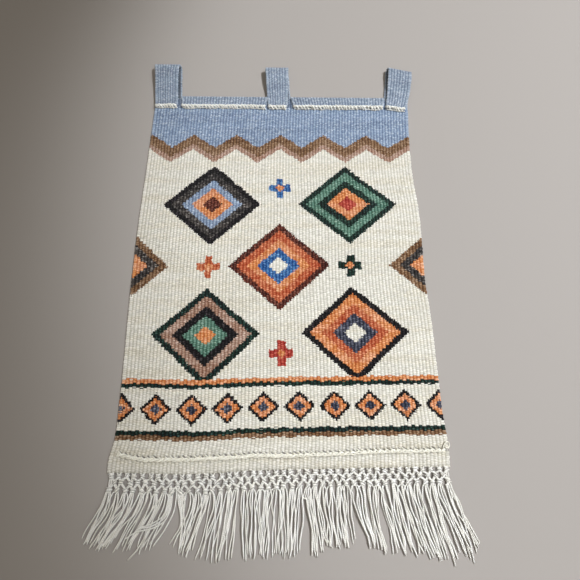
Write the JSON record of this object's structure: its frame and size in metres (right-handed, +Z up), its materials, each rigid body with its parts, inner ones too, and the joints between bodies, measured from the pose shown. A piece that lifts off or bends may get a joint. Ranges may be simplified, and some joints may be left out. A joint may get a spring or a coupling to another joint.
{
  "type": "woven tapestry",
  "caption": "Thick weft-faced woven wall tapestry lying flat, with turned top hems, folded hanging tabs for a rod, a twined row and a netted, knotted warp fringe.",
  "frame": {"origin": "middle of the piece's outline, on the surface that it lies on", "axes": "+Y up the cloth towards the hanging tabs, +X across it to the right, +Z up from the surface, out of its face"},
  "size_m": [0.653, 1.0532, 0.017],
  "materials": {
    "panel_cloth": "thick weft-faced wool tapestry, matt, vertical ribs",
    "tab_cloth": "light blue heathered wool, matt, vertical ribs",
    "thread": "bright white plied wool thread",
    "fringe_yarn": "off-white plied warp yarn, knotted"
  },
  "bodies": {
    "root": {"panel": "panel_cloth", "tab_left": "tab_cloth", "tab_middle": "tab_cloth", "tab_right": "tab_cloth", "seam_tab_left": "thread", "seam_tab_middle": "thread", "seam_tab_right": "thread", "seam_hem_left": "thread", "seam_hem_right": "thread", "twined_row": "thread", "fringe": "fringe_yarn"}
  },
  "joints": []
}
